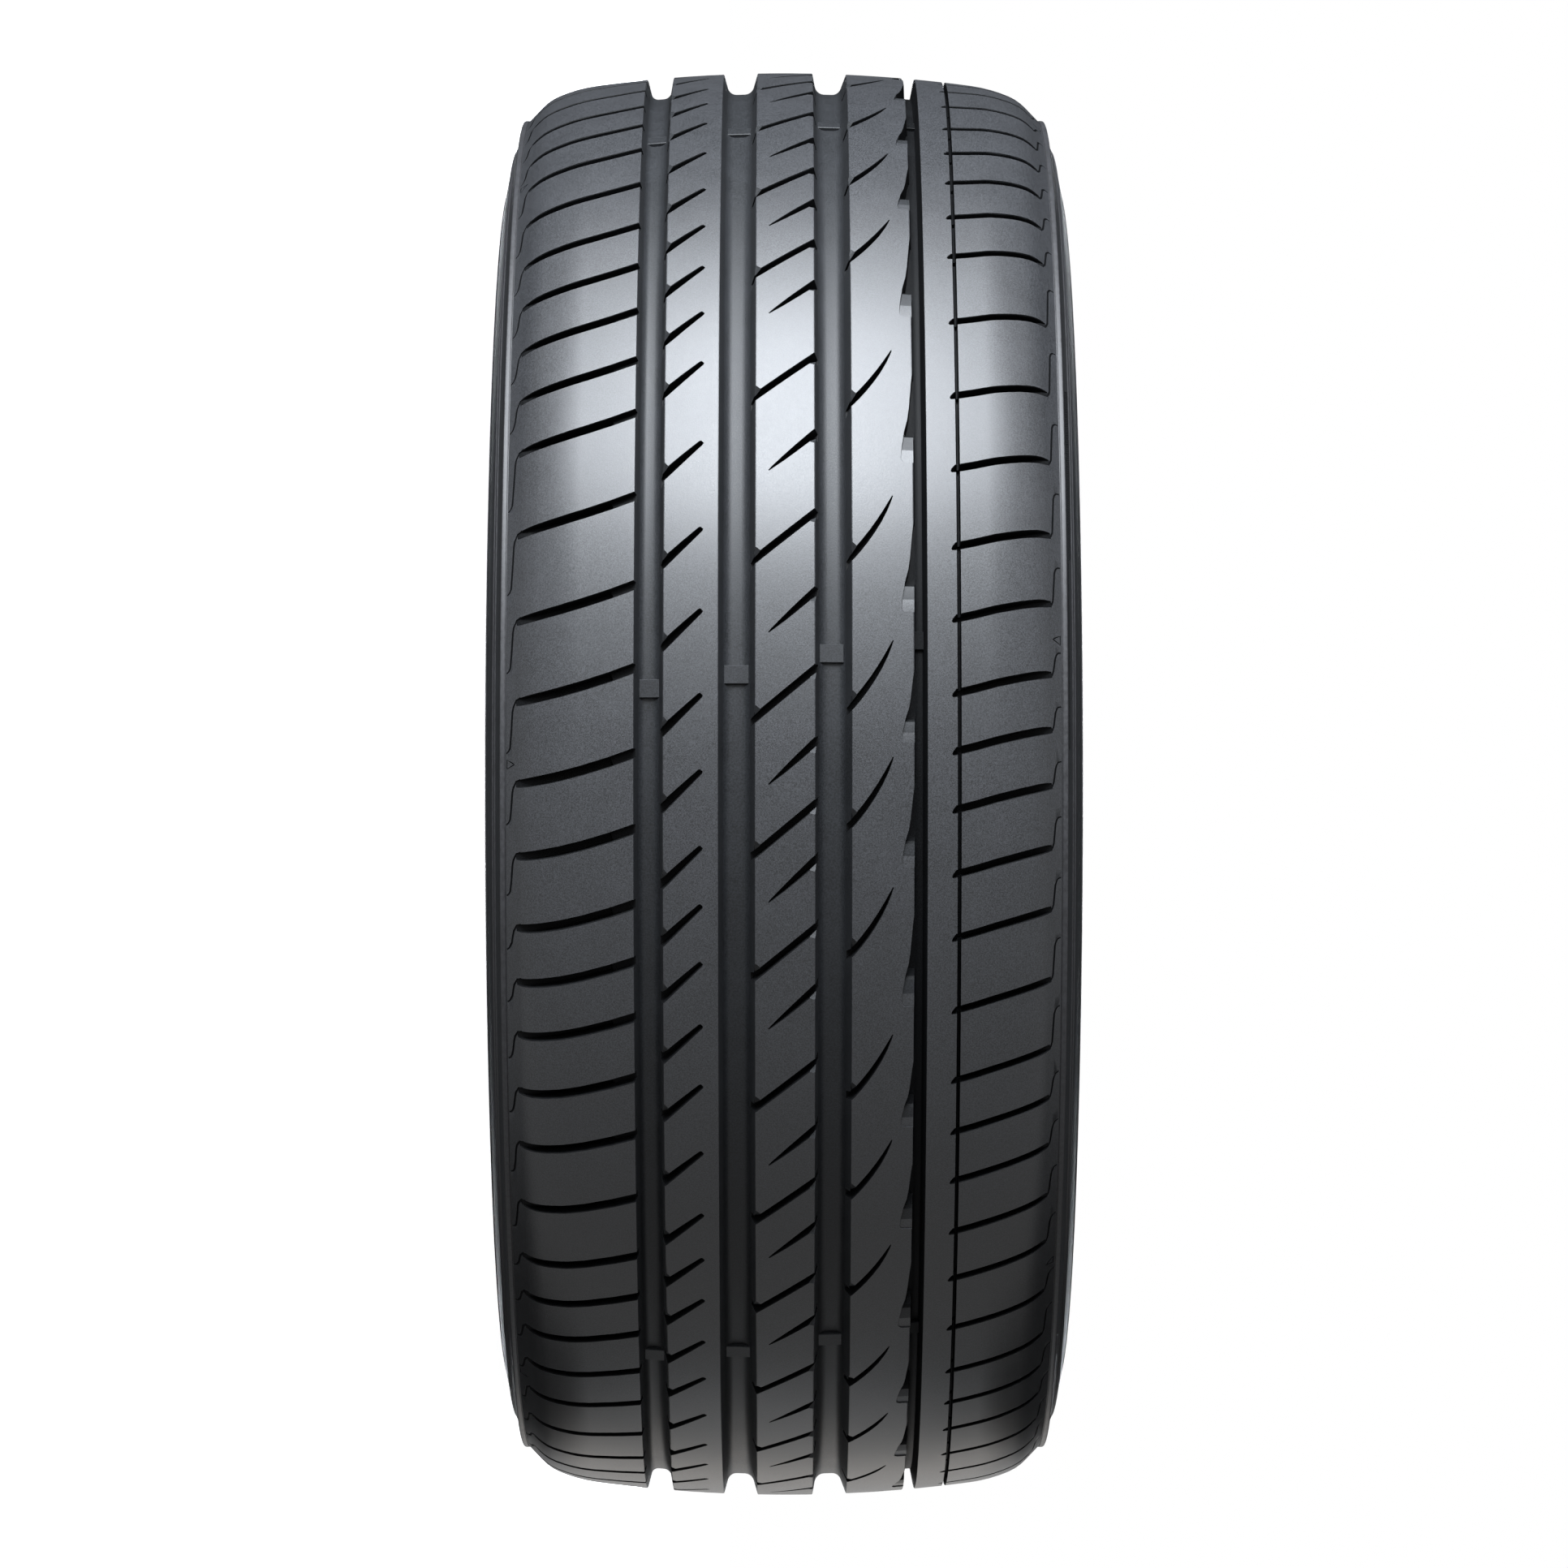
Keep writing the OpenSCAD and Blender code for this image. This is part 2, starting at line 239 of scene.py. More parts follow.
@dataclass(frozen=True)
class Sidewall:
    """Shoulder ring, sidewall, rim protector, bead and inner liner on one side."""

    tread_end: float = 115.8
    widest: float = 126.5
    widest_r: float = 256.0
    arc_r: float = 130.9
    seat_r: float = 231.0
    bead: float = 107.95
    heel_r: float = 6.5
    seat_w: float = 13.0
    protector_r: float = 251.0
    thickness: float = 9.5
    crown_in_r: float = 308.2
    crown: Crown = Crown()

    def flank(self, radius: float, proud: float = 0.0) -> tuple[float, float]:
        """Places a point on the round of the sidewall.

        Args:
            radius: Distance from the wheel axis.
            proud: Height over the plain round.

        Returns:
            Distance across the tyre, and distance from the wheel axis.
        """
        turn = math.asin((radius - self.widest_r) / self.arc_r)
        reach = self.arc_r + proud
        across = self.widest - self.arc_r + reach * math.cos(turn)
        return across, self.widest_r + reach * math.sin(turn)

    def outer(self) -> list[tuple[float, float]]:
        """Walks from the end of the tread down the outside to the bead toe.

        Returns:
            Points as distance across the tyre and distance from the wheel axis.
        """
        end, ledge = self.tread_end, self.crown.radius(self.tread_end)
        ring = [
            (end, ledge), (end + 0.1, ledge - 0.5), (end + 0.3, ledge - 0.5), (end + 0.4, ledge - 0.1),
            (end + 0.6, ledge), (end + 1.4, ledge + 0.05), (end + 2.2, ledge - 0.05),
            (end + 2.5, ledge - 0.25), (end + 2.7, ledge - 0.7), (end + 2.75, ledge - 1.6),
            (end + 2.8, ledge - 4.0),
        ]
        wall = [self.flank(299.0, -0.45), self.flank(296.0, -0.45), self.flank(293.2, -0.45)]
        wall += [self.flank(292.8), self.flank(291.3), self.flank(290.9, 0.4)]
        wall += [self.flank(290.1, 0.4), self.flank(289.7), self.flank(284.5)]
        wall += [self.flank(279.0), self.flank(273.6), self.flank(273.2, 0.35)]
        wall += [self.flank(272.4, 0.35), self.flank(272.0), self.flank(266.5)]
        wall += [self.flank(261.2), (self.widest, self.widest_r), (self.widest - 0.1, 253.6)]
        wall += [(self.widest - 0.5, 251.6), (self.widest - 1.6, 250.0)]
        wall += [(self.widest - 3.4, 248.9), (self.widest - 6.5, 247.4)]
        bead = curve(
            (self.widest - 6.5, 247.4), (self.bead + 5, 244.5),
            (self.bead, self.seat_r + 12.5), (self.bead, self.seat_r + self.heel_r + 0.6), 5,
        )[1:]
        for step in range(5):
            turn = math.radians(90 * step / 4)
            bead.append((
                self.bead - self.heel_r + self.heel_r * math.cos(turn),
                self.seat_r + self.heel_r - self.heel_r * math.sin(turn),
            ))
        toe = self.bead - self.heel_r - self.seat_w
        return ring + wall + bead + [(toe, self.seat_r), (toe - 1.2, self.seat_r + 0.9)]

    def inner(self) -> list[tuple[float, float]]:
        """Walks up the inner liner from the bead toe to the centre plane.

        Returns:
            Points as distance across the tyre and distance from the wheel axis.
        """
        toe = self.bead - self.heel_r - self.seat_w - 1.8
        wide, top = self.widest - self.thickness, self.crown_in_r
        low = curve(
            (toe, self.seat_r + 4), (toe + 2, self.seat_r + 14),
            (wide, self.widest_r - 14), (wide, self.widest_r + 16), 6,
        )
        high = curve((wide, self.widest_r + 16), (wide, top - 8), (wide - 25, top), (0.0, top), 8)
        return low + high[1:]


def curve(
    a: tuple[float, float],
    b: tuple[float, float],
    c: tuple[float, float],
    d: tuple[float, float],
    steps: int,
) -> list[tuple[float, float]]:
    """Walks a smooth curve that leaves a towards b and reaches d from c.

    Args:
        a: Start.
        b: Point that the start heads for.
        c: Point that the end comes from.
        d: End.
        steps: Number of stretches.

    Returns:
        The points of the curve, both ends included.
    """
    points = []
    for step in range(steps + 1):
        u = step / steps
        k = ((1 - u) ** 3, 3 * (1 - u) ** 2 * u, 3 * (1 - u) * u * u, u**3)
        points.append((
            k[0] * a[0] + k[1] * b[0] + k[2] * c[0] + k[3] * d[0],
            k[0] * a[1] + k[1] * b[1] + k[2] * c[1] + k[3] * d[1],
        ))
    return points


def spaced(start: float, end: float, steps: int) -> list[float]:
    """Gives evenly spaced numbers between two numbers, without the two themselves."""
    return [start + (end - start) * step / steps for step in range(1, steps)]


def drawn_out(cuts: Sequence[Sequence[Vector]]) -> bmesh.types.BMesh:
    """Draws a closed bar out from cut to cut.

    Args:
        cuts: Outlines with the same number of points, in metres.

    Returns:
        The bar, closed at both ends.
    """
    bm = bmesh.new()
    verts = [bm.verts.new(spot) for spot in cuts[0]]
    edges = [bm.edges.new((verts[k - 1], verts[k])) for k in range(len(verts))]
    face = bmesh.ops.contextual_create(bm, geom=edges)["faces"][0]
    for number, (old, new) in enumerate(zip(cuts, cuts[1:])):
        grown = bmesh.ops.extrude_face_region(bm, geom=[face])["geom"]
        if number:
            bmesh.ops.delete(bm, geom=[face], context="FACES_ONLY")
        face = next(item for item in grown if isinstance(item, bmesh.types.BMFace))
        for vert in face.verts:
            nearest = min(range(len(old)), key=lambda k: (old[k] - vert.co).length)
            vert.co = new[nearest]
    bmesh.ops.recalc_face_normals(bm, faces=bm.faces[:])
    return bm


@dataclass(frozen=True)
class Section:
    """The cut through the whole tyre: ribs, grooves, sidewalls, beads and liner."""

    crown: Crown = Crown()
    wall: Sidewall = Sidewall()
    outer_left: Groove = Groove(-62.2, -50.2, 13, 9, root=3.6)
    mid_left: Groove = Groove(-27.2, -12.1, 14, 15, root=4.2)
    mid_right: Groove = Groove(13.0, 28.1, 10, 19, root=4.2)
    outer_right: Groove = Groove(54.0, 59.4, 2, 10, root=0.8, corner_steps=2)
    hairline: Groove = Groove(71.9, 73.5, 2, 2, depth=5.0, root=0.4, edge=0.12, corner_steps=1)

    def grooves(self) -> list[Groove]:
        """Lists the grooves from left to right."""
        return [self.outer_left, self.mid_left, self.mid_right, self.outer_right, self.hairline]

    def outline(self) -> list[tuple[float, float]]:
        """Walks right round the cut.

        Returns:
            Points as distance across the tread and height over the crown.
        """
        right = [self._flat(point) for point in self.wall.outer() + self.wall.inner()]
        left = [(-across, height) for across, height in reversed(right[:-1])]
        return left + self._tread() + right

    def _tread(self) -> list[tuple[float, float]]:
        """Walks the ribs and grooves from the left shoulder to the right one."""
        end = self.wall.tread_end
        shoulder = [85.0, 90.0, 94.5, 98.5, 102.4, 105.2, 107.8, 110.4, 113.0]
        points = [(-at, 0.0) for at in reversed(shoulder)] + [(-73.5, 0.0)]
        last = None
        for groove, cells in zip(self.grooves(), (0, 3, 3, 3, 2)):
            if last is not None:
                points += [(at, 0.0) for at in spaced(last, groove.left, cells)]
            points += groove.outline()
            last = groove.right
        points += [(at, 0.0) for at in [79.0] + shoulder if at < end]
        return points

    def _flat(self, point: tuple[float, float]) -> tuple[float, float]:
        """Lays a point given by its distance from the wheel axis out flat."""
        across, radius = point
        return across, radius - self.crown.radius(across)


@dataclass(frozen=True)
class SlotCutter:
    """Makes the blades of the mould, each with a flared lip that breaks the rubber's edge."""

    lip: float = 0.3

    def blade(self, stations: Sequence[Station], lip: float | None = None) -> bmesh.types.BMesh:
        """Draws one cut out along the slot, from station to station.

        Args:
            stations: Cuts through the slot, in order.
            lip: Width of the flare at the surface, where it isn't the usual one.

        Returns:
            A closed blade in the flat tread.
        """
        lip = self.lip if lip is None else lip
        cuts = []
        for number, station in enumerate(stations):
            before = stations[max(number - 1, 0)]
            after = stations[min(number + 1, len(stations) - 1)]
            heading = Vector((after.along - before.along, after.across - before.across, 0.0))
            beside = Vector((-heading.y, heading.x, 0.0)).normalized()
            middle = Vector((station.along, station.across, 0.0))
            half, low = station.width / 2, min(lip, station.depth * 0.6)
            shape = [(-half - lip - low, lip), (-half, -low), (-half * 0.92, -station.depth)]
            shape += [(-across, height) for across, height in reversed(shape)]
            cuts.append([(middle + beside * out + Vector((0, 0, up))) * MM for out, up in shape])
        return drawn_out(cuts)

    def chip(self, points: Iterable[Vector]) -> bmesh.types.BMesh:
        """Makes a small closed cutter that just holds some points."""
        bm = bmesh.new()
        verts = [bm.verts.new(point * MM) for point in points]
        made = bmesh.ops.convex_hull(bm, input=verts)
        spare = {item for item in made["geom_interior"] + made["geom_unused"]
                 if isinstance(item, bmesh.types.BMVert)}
        bmesh.ops.delete(bm, geom=list(spare), context="VERTS")
        bmesh.ops.recalc_face_normals(bm, faces=bm.faces[:])
        return bm


@dataclass(frozen=True)
class Hatch:
    """Fine slanted lines in the recess of the right sidewall, along one stretch of its turn.

    Args:
        first: Turn of the first line, in degrees.
        last: Turn of the last line, in degrees.
        short_from: Turn from which the lines are short, in degrees.
        spacing: Distance from line to line.
        outer_r: Distance from the wheel axis to a line's outer end.
        inner_r: Distance from the wheel axis to a long line's inner end.
        short_r: Distance from the wheel axis to a short line's inner end.
        slant: Slant against the radius, in degrees.
        width: Width of a line.
        depth: Depth of a line.
        recess: Depth of the recess under the plain round of the sidewall.
        wall: The sidewall that carries the lines.
    """

    first: float = 236.2
    last: float = 267.5
    short_from: float = 252.0
    spacing: float = 0.9
    outer_r: float = 299.4
    inner_r: float = 293.6
    short_r: float = 296.6
    slant: float = 33.0
    width: float = 0.44
    depth: float = 0.25
    recess: float = 0.45
    wall: Sidewall = Sidewall()

    def turns(self) -> list[float]:
        """Lists the turn of each line, in degrees."""
        stride = math.degrees(self.spacing / self.outer_r)
        count = int((self.last - self.first) / stride)
        return [self.first + stride * number for number in range(count + 1)]

    def blade(self, turn: float) -> bmesh.types.BMesh:
        """Makes the blade of one line.

        Args:
            turn: Turn of the line, in degrees.

        Returns:
            A closed blade in the flat tread, at its start.
        """
        half, crown = self.width / 2, self.wall.crown
        inner = self.inner_r if turn < self.short_from else self.short_r
        shape = [(-half, 0.7), (half, 0.7), (half, 0.0), (0.0, -self.depth), (-half, 0.0)]
        cuts = []
        for radius in (self.outer_r, (self.outer_r + inner) / 2, inner):
            shift = (self.outer_r - radius) * math.tan(math.radians(self.slant))
            cut = []
            for beside, proud in shape:
                across, out = self.wall.flank(radius, proud - self.recess)
                along = (beside - shift) * crown.top / radius
                cut.append(Vector((along, across, out - crown.radius(across))) * MM)
            cuts.append(cut)
        return drawn_out(cuts)


class Toolbox:
    """Blades that don't touch each other, gathered so that one cut takes them all."""

    def __init__(self, name: str, length: float) -> None:
        """Starts an empty set of blades for a flat tread of the given length in millimetres."""
        self.name = name
        self.length = length
        self.bm = bmesh.new()

    def add(self, blade: bmesh.types.BMesh, along: float, margin: float = 60.0) -> None:
        """Adds a blade at a place along the tread, at both ends where it may cross the join.

        Args:
            blade: Closed blade, which is used up.
            along: Distance along the tread in millimetres.
            margin: Reach of the largest blade.
        """
        mesh = bpy.data.meshes.new("blade")
        blade.to_mesh(mesh)
        blade.free()
        along %= self.length
        places = [along]
        if along < margin:
            places.append(along + self.length)
        if along > self.length - margin:
            places.append(along - self.length)
        for place in places:
            count = len(self.bm.verts)
            self.bm.from_mesh(mesh)
            self.bm.verts.ensure_lookup_table()
            fresh = self.bm.verts[count:]
            bmesh.ops.translate(self.bm, verts=fresh, vec=Vector((place * MM, 0.0, 0.0)))
        bpy.data.meshes.remove(mesh)

    def to_object(self, finish: bpy.types.Material) -> bpy.types.Object:
        """Turns the blades into one object, which leaves the given material, here a painted shade,
        where it cuts.
        """
        mesh = bpy.data.meshes.new(self.name)
        self.bm.to_mesh(mesh)
        self.bm.free()
        mesh.materials.append(finish)
        tool = bpy.data.objects.new(self.name, mesh)
        bpy.context.scene.collection.objects.link(tool)
        return tool


@dataclass
class TreadPattern:
    """The slots, scoops, fine lines and wear bars, each placed from its pitch."""

    section: Section = field(default_factory=Section)
    ring: PitchRing = field(default_factory=PitchRing)
    cutter: SlotCutter = field(default_factory=SlotCutter)
    hatch: Hatch = field(default_factory=Hatch)
    left_shoulder_turn: float = 10.5
    left_rib_turn: float = 6.5
    cross_turn: float = -0.9
    point_turn: float = -1.1
    sickle_turn: float = -8.6
    scoop_turn: float = -5.96
    scoop_share: float = 0.57
    scoop_length: float = 42.0
    scoop_far: float = 55.4
    right_shoulder_turn: float = -4.5
    bar_turns: tuple[float, ...] = (5.9, 4.9, 3.3, 2.25)
    bar_widths: tuple[float, ...] = (8.6, 10.5, 10.2, 4.3)
    bar_height: float = 1.6
    bar_length: float = 8.0
    left_marks: tuple[int, ...] = (0, 10, 22, 32, 44, 56)
    right_marks: tuple[int, ...] = (0, 11, 22, 32, 44, 56)
    start: float = 91.7

    def length(self) -> float:
        """Gives the length of the flat tread."""
        return 2 * math.pi * self.section.crown.top

    def along(self, turn: float) -> float:
        """Gives the place along the flat tread of a turn in degrees."""
        return math.radians((turn - self.start) % 360.0) * self.section.crown.top

    def tools(self) -> list[tuple[Toolbox, FinishOrShade]]:
        """Makes every cutter of the tread.

        Returns:
            The slots, the scoops, the fine lines and the chips at the slots' mouths, each set
            with the material that it leaves: the painted slot shade or the painted groove shade.
        """
        slots = Toolbox("slot_blades", self.length())
        scoops = Toolbox("scoop_blades", self.length())
        lines = Toolbox("line_blades", self.length())
        chips = Toolbox("mouth_chips", self.length())
        pitches = self.ring.pitches()
        for number, pitch in enumerate(pitches):
            gap = self.ring.slot_gap(pitches, number)
            gap_before = self.ring.slot_gap(pitches, number - 1)
            for half, before in enumerate((gap_before, gap)):
                slot = 2 * number + half
                turn = pitch.start + pitch.angle * half / 2
                at = self.along(turn + self.left_shoulder_turn)
                slots.add(self.left_shoulder_slot(), at)
                lines.add(self.left_line(gap), at)
                if slot in self.left_marks:
                    lines.add(self.mark(6.2, -115.2, -112.0), at)
                at = self.along(turn + self.right_shoulder_turn)
                slots.add(self.right_shoulder_slot(), at)
                room = 7.5 if slot - 1 in self.right_marks else 0.0
                lines.add(self.right_line(before - room), at)
                if slot in self.right_marks:
                    lines.add(self.mark(4.3, 115.1, 111.9), at)
                at = self.along(turn + self.left_rib_turn)
                slots.add(self.left_rib_slot(), at)
                chips.add(self.left_rib_chip(), at)
            at = self.along(pitch.start + pitch.angle / 2 + self.cross_turn)
            slots.add(self.cross_slot(), at)
            for chip in self.cross_chips():
                chips.add(chip, at)
            at = self.along(pitch.start + self.point_turn)
            slots.add(self.point_slot(), at)
            chips.add(self.point_chip(), at)
            at = self.along(pitch.start + self.sickle_turn)
            slots.add(self.sickle_slot(), at)
            chips.add(self.sickle_chip(), at)
            at = self.along(pitch.start + self.scoop_turn + pitch.angle * self.scoop_share)
            scoops.add(self.scoop(self.scoop_length * pitch.ratio), at)
        for turn in self.hatch.turns():
            lines.add(self.hatch.blade(turn), self.along(turn))
        # The cut faces take painted shade: near-black in the slots and fine lines, and the darker
        # groove colour in the scoops and mouth chips.
        return [
            (slots, FinishOrShade.SLOT_PAINTED_SHADE), (scoops, FinishOrShade.GROOVE_PAINTED_SHADE),
            (lines, FinishOrShade.SLOT_PAINTED_SHADE), (chips, FinishOrShade.GROOVE_PAINTED_SHADE),
        ]

    def left_shoulder_slot(self) -> bmesh.types.BMesh:
        """Makes a slot across the left shoulder, with a tie bar at the groove."""
        return self.cutter.blade([
            Station(0.8, -59.4, 3.7, 3.4), Station(2.2, -62.8, 3.7, 3.4),
            Station(5.2, -71.2, 3.7, 3.6), Station(5.5, -72.0, 3.7, 7.0),
            Station(9.0, -83.3, 3.7, 7.0), Station(11.6, -93.1, 3.7, 6.6),
            Station(13.2, -100.5, 3.6, 5.0), Station(14.2, -106.0, 3.4, 2.6),
            Station(14.7, -109.6, 3.0, 0.9), Station(14.9, -111.4, 2.6, 0.25),
        ])

    def right_shoulder_slot(self) -> bmesh.types.BMesh:
        """Makes a slot across the right shoulder, with a slanted tip."""
        return self.cutter.blade([
            Station(0.15, 69.8, 0.25, 4.5), Station(-0.5, 70.6, 1.6, 6.0),
            Station(-1.5, 71.9, 3.0, 7.0), Station(-3.4, 79.4, 3.0, 7.0),
            Station(-6.0, 88.2, 3.0, 7.0), Station(-8.7, 99.0, 3.0, 6.0),
            Station(-10.3, 106.0, 3.0, 3.4), Station(-10.9, 109.2, 2.8, 1.6),
            Station(-11.3, 111.4, 2.3, 0.3),
        ])

    def left_rib_slot(self) -> bmesh.types.BMesh:
        """Makes a short slot in the left rib, open to the left outer groove."""
        return self.cutter.blade([
            Station(18.6, -53.5, 3.5, 6.5), Station(15.5, -50.1, 3.3, 6.5),
            Station(7.7, -42.0, 2.6, 6.5), Station(0.8, -34.7, 1.8, 5.5),
            Station(0.2, -34.1, 1.0, 5.0),
        ])

    def cross_slot(self) -> bmesh.types.BMesh:
        """Makes a slot right across the centre rib."""
        return self.cutter.blade([
            Station(-3.8, 17.5, 2.7, 6.5), Station(0.0, 13.0, 2.7, 6.5),
            Station(10.4, 0.5, 2.7, 6.5), Station(20.9, -12.1, 2.7, 6.5),
            Station(23.9, -15.7, 2.7, 6.5),
        ])

    def point_slot(self) -> bmesh.types.BMesh:
        """Makes a pointed slot in the centre rib, open to the right middle groove."""
        return self.cutter.blade([
            Station(-3.6, 17.0, 3.0, 6.5), Station(0.0, 13.0, 3.0, 6.5),
            Station(7.6, 4.7, 2.3, 6.5), Station(12.1, -0.2, 1.6, 6.5),
            Station(16.2, -4.8, 0.6, 5.5), Station(17.7, -6.4, 0.1, 4.5),
        ], lip=0.22)

    def sickle_slot(self) -> bmesh.types.BMesh:
        """Makes a curved slot in the right rib, from the groove to its sharp tip."""
        return self.cutter.blade([
            Station(31.0, 24.9, 2.6, 6.5), Station(27.2, 28.4, 2.55, 6.5),
            Station(24.2, 30.9, 2.5, 6.5), Station(20.7, 33.6, 2.35, 6.5),
            Station(16.4, 36.6, 2.1, 6.5), Station(11.4, 39.7, 1.75, 6.5),
            Station(6.3, 42.4, 1.2, 6.5), Station(2.4, 44.2, 0.6, 5.5),
            Station(0.0, 45.2, 0.08, 4.5),
        ], lip=0.2)

    def scoop(self, length: float) -> bmesh.types.BMesh:
        """Makes a scoop in the right edge of the right rib.

        Args:
            length: Length of the scoop along the tread.

        Returns:
            A closed blade that runs out flat at its wide end and plunges to the groove's floor.
        """
        outline = [
            (0.99, 54.1, 9.2), (0.83, 53.4, 9.2), (0.56, 52.4, 9.2), (0.44, 51.7, 9.2),
            (0.34, 50.6, 9.0), (0.32, 50.4, 5.0), (0.3, 50.2, 2.6), (0.27, 50.05, 1.5),
            (0.23, 49.8, 1.25), (0.18, 49.4, 1.0), (0.13, 49.15, 0.8), (0.08, 48.95, 0.65),
            (0.045, 48.85, 0.58), (0.018, 49.2, 0.52), (0.0, 50.0, 0.5),
        ]
        far = self.scoop_far
        return self._straight_blade([
            Station(-share * length, (edge + far) / 2, far - edge, depth)
            for share, edge, depth in outline
        ])

    def _straight_blade(self, stations: Sequence[Station]) -> bmesh.types.BMesh:
        """Draws a blade along the tread, with each cut square to the tread's own direction."""
        cuts = []
        for station in stations:
            near, far = station.across - station.width / 2, station.across + station.width / 2
            shape = [(near - 0.35, 0.25), (near, -0.12), (near, -station.depth)]
            shape += [(far, -station.depth), (far, 0.25)]
            cuts.append([Vector((station.along, across, up)) * MM for across, up in shape])
        return drawn_out(cuts)

    def left_line(self, gap: float) -> bmesh.types.BMesh:
        """Makes the fine line that runs on from a left shoulder slot.

        Args:
            gap: Distance to the next slot along the tread.

        Returns:
            A closed blade.
        """
        end = gap + 1.3
        return self.cutter.blade([
            Station(12.9, -109.4, 0.6, 0.5), Station(14.0, -111.3, 0.6, 0.5),
            Station(16.6, -112.5, 0.6, 0.5), Station(18.8, -112.9, 0.6, 0.5),
            Station((18.8 + end) / 2, -113.4, 0.6, 0.5), Station(end - 2.4, -113.9, 0.6, 0.5),
            Station(end - 1.0, -114.5, 0.45, 0.4), Station(end, -115.5, 0.4, 0.3),
        ], lip=0.1)

    def right_line(self, gap: float) -> bmesh.types.BMesh:
        """Makes the fine line that runs on from a right shoulder slot.

        Args:
            gap: Distance to the slot before along the tread.

        Returns:
            A closed blade.
        """
        end = 2.4 - gap
        return self.cutter.blade([
            Station(-9.9, 110.6, 0.6, 0.5), Station(-11.2, 111.6, 0.6, 0.5),
            Station(-13.2, 112.2, 0.6, 0.5), Station(end + 3.2, 112.9, 0.6, 0.5),
            Station(end + 1.5, 113.4, 0.5, 0.45), Station(end + 0.4, 114.1, 0.45, 0.4),
            Station(end, 115.4, 0.4, 0.3),
        ], lip=0.1)

    def mark(self, along: float, base: float, tip: float) -> bmesh.types.BMesh:
        """Makes the small triangle on the shoulder that points to the wear bars.

        Args:
            along: Place of its middle along the tread.
            base: Where its base lies across the tread.
            tip: Where its tip lies across the tread.

        Returns:
            A closed blade that draws the outline of the triangle.
        """
        corners = [(along, tip), (along + 2.0, base), (along - 2.0, base), (along - 0.25, tip + (
            0.4 if base > tip else -0.4))]
        return self.cutter.blade([Station(t, z, 0.45, 0.35) for t, z in corners], lip=0.05)

    def _facet(
        self, corner: tuple[float, float], along: float, into: float, across: float, deep: float
    ) -> bmesh.types.BMesh:
        """Makes a chip that bevels the corner of a rib beside a slot's mouth with one facet.

        Args:
            corner: Where the slot's edge meets the groove's edge.
            along: Reach of the facet along the groove, signed.
            into: Reach of the facet along the slot, in the tread's direction.
            across: Reach of the facet along the slot, across the tread.
            deep: Depth of the facet at the corner.

        Returns:
            A closed cutter.
        """
        t, z = corner
        facet = [Vector((t + along, z, 0)), Vector((t + into, z + across, 0)), Vector((t, z, -deep))]
        middle = sum(facet, Vector()) / 3
        points = [middle + (point - middle) * 1.4 for point in facet]
        points.append(middle + (Vector((t, z, 0)) - middle) * 1.6)
        return self.cutter.chip(points)

    def left_rib_chip(self) -> bmesh.types.BMesh:
        """Makes the chip above the mouth of a left rib slot."""
        return self._facet((13.6, -50.2), -4.6, -2.0, 2.1, 2.2)

    def cross_chips(self) -> list[bmesh.types.BMesh]:
        """Makes the chips at both mouths of a cross slot."""
        return [
            self._facet((19.2, -12.1), -4.2, -2.1, 2.5, 2.2),
            self._facet((1.8, 13.0), 2.8, 2.1, -2.5, 2.0),
        ]

    def point_chip(self) -> bmesh.types.BMesh:
        """Makes the chip below the mouth of a point slot."""
        return self._facet((2.1, 13.0), 2.8, 2.1, -2.3, 2.0)

    def sickle_chip(self) -> bmesh.types.BMesh:
        """Makes the chip above the mouth of a sickle slot."""
        return self._facet((25.2, 28.1), -4.4, -2.2, 2.2, 2.2)

    def bars(self) -> Toolbox:
        """Makes the wear bars that stand on the floors of the four main grooves.

        Returns:
            The bars, set a little into the floors.
        """
        bars = Toolbox("wear_bars", self.length())
        grooves = self.section.grooves()
        for pitch in (pitch for pitch in self.ring.pitches() if pitch.bars):
            for groove, turn, width in zip(grooves, self.bar_turns, self.bar_widths):
                middle = (groove.left + groove.right) / 2 + (
                    math.tan(math.radians(groove.left_draft))
                    - math.tan(math.radians(groove.right_draft))
                ) * groove.depth / 2
                bars.add(self._bar(middle, width, groove.depth), self.along(pitch.start + turn))
        return bars

    def _bar(self, middle: float, width: float, depth: float) -> bmesh.types.BMesh:
        """Makes one wear bar with slightly broken edges."""
        bm = bmesh.new()
        bmesh.ops.create_cube(bm, size=1.0)
        size = Vector((self.bar_length, width, self.bar_height + 1.0)) * MM
        bmesh.ops.scale(bm, verts=bm.verts[:], vec=size)
        rise = (self.bar_height - 1.0) / 2 - depth
        bmesh.ops.translate(bm, verts=bm.verts[:], vec=Vector((0.0, middle, rise)) * MM)
        top = [edge for edge in bm.edges if all(v.co.z > rise * MM for v in edge.verts)]
        bmesh.ops.bevel(
            bm, geom=top, offset=0.25 * MM, segments=1, profile=0.5, affect="EDGES", material=-1
        )
        return bm


